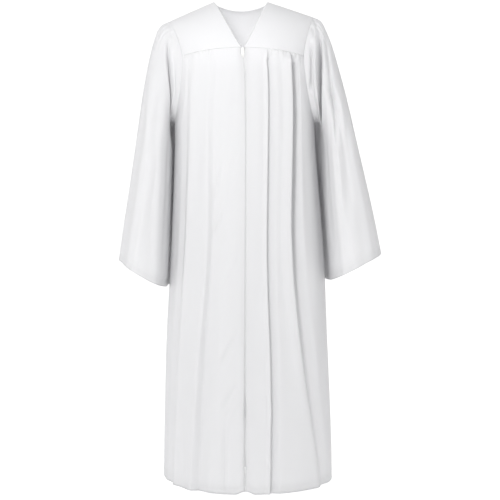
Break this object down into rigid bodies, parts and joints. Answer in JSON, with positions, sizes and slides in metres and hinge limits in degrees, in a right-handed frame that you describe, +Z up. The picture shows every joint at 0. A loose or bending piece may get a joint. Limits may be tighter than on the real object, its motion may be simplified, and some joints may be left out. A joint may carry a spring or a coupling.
{
  "type": "choir robe, worn form",
  "caption": "White full-length choir robe with a plain V-neck yoke, front zip and wide open sleeves, in its worn, filled-out shape with no wearer in it.",
  "frame": {"origin": "level with the two high shoulder points and between them, where the wearer's shoulders carry the robe", "axes": "+Z up, -Y the front that the robe shows, +X towards the wearer's left arm, which is on the right seen from the front"},
  "size_m": [0.7121, 0.3953, 1.3066],
  "materials": {
    "cloth": "matt white plain-woven polyester, the only cloth of the robe",
    "zip_tape": "white woven zip tape with a nylon coil",
    "zip_pull": "white enamel, semi-gloss"
  },
  "bodies": {
    "robe": {"yoke_front_right": "cloth", "yoke_front_left": "cloth", "yoke_back": "cloth", "front_right": "cloth", "front_left": "cloth", "back": "cloth", "sleeve_right": "cloth", "sleeve_left": "cloth", "zip_tape_right": "zip_tape", "zip_tape_left": "zip_tape", "zip_slider": "zip_pull"},
    "pull_tab": {"zip_pull_tab": "zip_pull"}
  },
  "joints": [
    {"name": "pull_tab_hinge", "type": "hinge", "parent": "robe", "child": "pull_tab", "pos_m": [-0.00851, -0.11454, -0.14493], "axis": [-1, 0, 0], "range_deg": [0, 150]}
  ]
}
